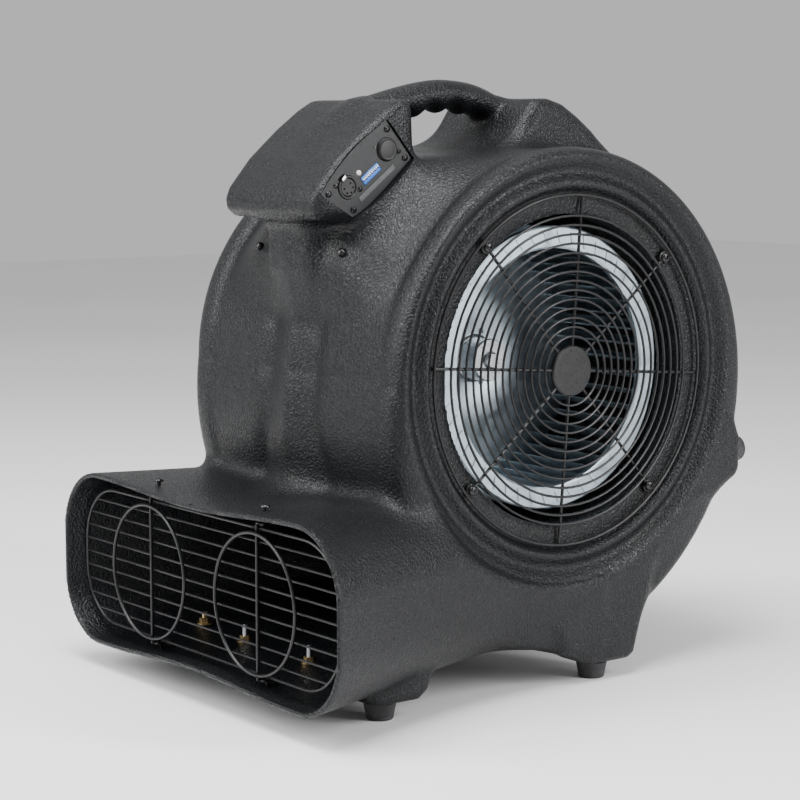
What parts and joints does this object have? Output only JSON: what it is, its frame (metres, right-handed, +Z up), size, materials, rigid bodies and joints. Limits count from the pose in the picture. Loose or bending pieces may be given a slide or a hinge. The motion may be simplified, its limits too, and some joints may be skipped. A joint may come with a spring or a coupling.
{
  "type": "air mover",
  "caption": "Portable blower with a moulded snail casing, double-inlet centrifugal wheel, wire grilles, outlet guard, carry handle, feet and a side control panel.",
  "frame": {"origin": "middle of the footprint at floor level, under the feet", "axes": "+Z up, -Y the way the air leaves, +X the side that carries the control panel"},
  "size_m": [0.474, 0.562, 0.576],
  "materials": {
    "housing_plastic": "charcoal, pebble-textured rotational moulding",
    "satin_wire": "black satin coated wire",
    "black_screw": "black oxide, glossy",
    "foot_rubber": "dark moulded rubber",
    "zinc_bolt": "yellow-passivated zinc",
    "panel_plastic": "fine-grained dark grey",
    "bright_steel": "bright zinc plate",
    "switch_blue": "semi-gloss",
    "switch_white": "semi-gloss",
    "lamp_lens": "milky, glossy",
    "circuit_board": "solder mask",
    "galvanised_sheet": "galvanised sheet steel",
    "motor_paint": "dark grey enamel"
  },
  "bodies": {
    "casing": {"housing": "housing_plastic", "intake_grille_right": "satin_wire", "intake_grille_left": "satin_wire", "grille_screw_right_1": "black_screw", "grille_screw_right_2": "black_screw", "grille_screw_right_3": "black_screw", "grille_screw_right_4": "black_screw", "grille_screw_left_1": "black_screw", "grille_screw_left_2": "black_screw", "grille_screw_left_3": "black_screw", "grille_screw_left_4": "black_screw", "outlet_guard": "satin_wire", "guard_screw_top_right": "black_screw", "guard_screw_top_left": "black_screw", "guard_screw_bottom_right": "black_screw", "guard_screw_bottom_left": "black_screw", "front_foot_right": "foot_rubber", "front_foot_left": "foot_rubber", "rear_foot_right": "foot_rubber", "rear_foot_left": "foot_rubber", "back_foot_right": "foot_rubber", "back_foot_left": "foot_rubber", "front_foot_bolt_right": "zinc_bolt", "front_foot_bolt_left": "zinc_bolt", "rear_foot_bolt_right": "zinc_bolt", "rear_foot_bolt_left": "zinc_bolt", "back_foot_bolt_right": "zinc_bolt", "back_foot_bolt_left": "zinc_bolt", "control_panel": "panel_plastic", "panel_screw_1": "black_screw", "panel_screw_2": "black_screw", "panel_screw_3": "black_screw", "panel_screw_4": "black_screw", "output_socket": "panel_plastic", "output_socket_screw_1": "black_screw", "output_socket_screw_2": "black_screw", "input_socket": "panel_plastic", "input_socket_screw_1": "black_screw", "input_socket_screw_2": "black_screw", "address_switch_body": "switch_blue", "status_lamp": "lamp_lens", "control_board": "circuit_board", "motor": "motor_paint", "motor_mount": "bright_steel", "run_capacitor": "panel_plastic"},
    "wheel": {"blower_wheel": "galvanised_sheet", "wheel_hub": "bright_steel", "motor_shaft": "bright_steel"},
    "latch": {"output_socket_latch": "bright_steel"},
    "socket_cap": {"input_socket_cap": "foot_rubber"},
    "slider_1": {"address_switch_slider_1": "switch_white"},
    "slider_2": {"address_switch_slider_2": "switch_white"},
    "slider_3": {"address_switch_slider_3": "switch_white"},
    "slider_4": {"address_switch_slider_4": "switch_white"},
    "slider_5": {"address_switch_slider_5": "switch_white"},
    "slider_6": {"address_switch_slider_6": "switch_white"},
    "slider_7": {"address_switch_slider_7": "switch_white"},
    "slider_8": {"address_switch_slider_8": "switch_white"},
    "slider_9": {"address_switch_slider_9": "switch_white"},
    "slider_10": {"address_switch_slider_10": "switch_white"}
  },
  "joints": [
    {"name": "wheel_spin", "type": "hinge", "parent": "casing", "child": "wheel", "pos_m": [0, 0.041, 0.303], "axis": [1, 0, 0], "continuous": true},
    {"name": "latch_press", "type": "slide", "parent": "casing", "child": "latch", "axis": [-1, 0, 0], "range_m": [0, 0.002], "stiffness_N_per_m": 500},
    {"name": "cap_pull", "type": "slide", "parent": "casing", "child": "socket_cap", "axis": [1, 0, 0], "range_m": [0, 0.015]},
    {"name": "slider_1_throw", "type": "slide", "parent": "casing", "child": "slider_1", "axis": [0, -0.6115, 0.7912], "range_m": [-0.0014, 0]},
    {"name": "slider_2_throw", "type": "slide", "parent": "casing", "child": "slider_2", "axis": [0, -0.6115, 0.7912], "range_m": [-0.0014, 0]},
    {"name": "slider_3_throw", "type": "slide", "parent": "casing", "child": "slider_3", "axis": [0, -0.6115, 0.7912], "range_m": [-0.0014, 0]},
    {"name": "slider_4_throw", "type": "slide", "parent": "casing", "child": "slider_4", "axis": [0, -0.6115, 0.7912], "range_m": [-0.0014, 0]},
    {"name": "slider_5_throw", "type": "slide", "parent": "casing", "child": "slider_5", "axis": [0, -0.6115, 0.7912], "range_m": [-0.0014, 0]},
    {"name": "slider_6_throw", "type": "slide", "parent": "casing", "child": "slider_6", "axis": [0, -0.6115, 0.7912], "range_m": [-0.0014, 0]},
    {"name": "slider_7_throw", "type": "slide", "parent": "casing", "child": "slider_7", "axis": [0, -0.6115, 0.7912], "range_m": [-0.0014, 0]},
    {"name": "slider_8_throw", "type": "slide", "parent": "casing", "child": "slider_8", "axis": [0, -0.6115, 0.7912], "range_m": [-0.0014, 0]},
    {"name": "slider_9_throw", "type": "slide", "parent": "casing", "child": "slider_9", "axis": [0, -0.6115, 0.7912], "range_m": [-0.0014, 0]},
    {"name": "slider_10_throw", "type": "slide", "parent": "casing", "child": "slider_10", "axis": [0, -0.6115, 0.7912], "range_m": [-0.0014, 0]}
  ]
}
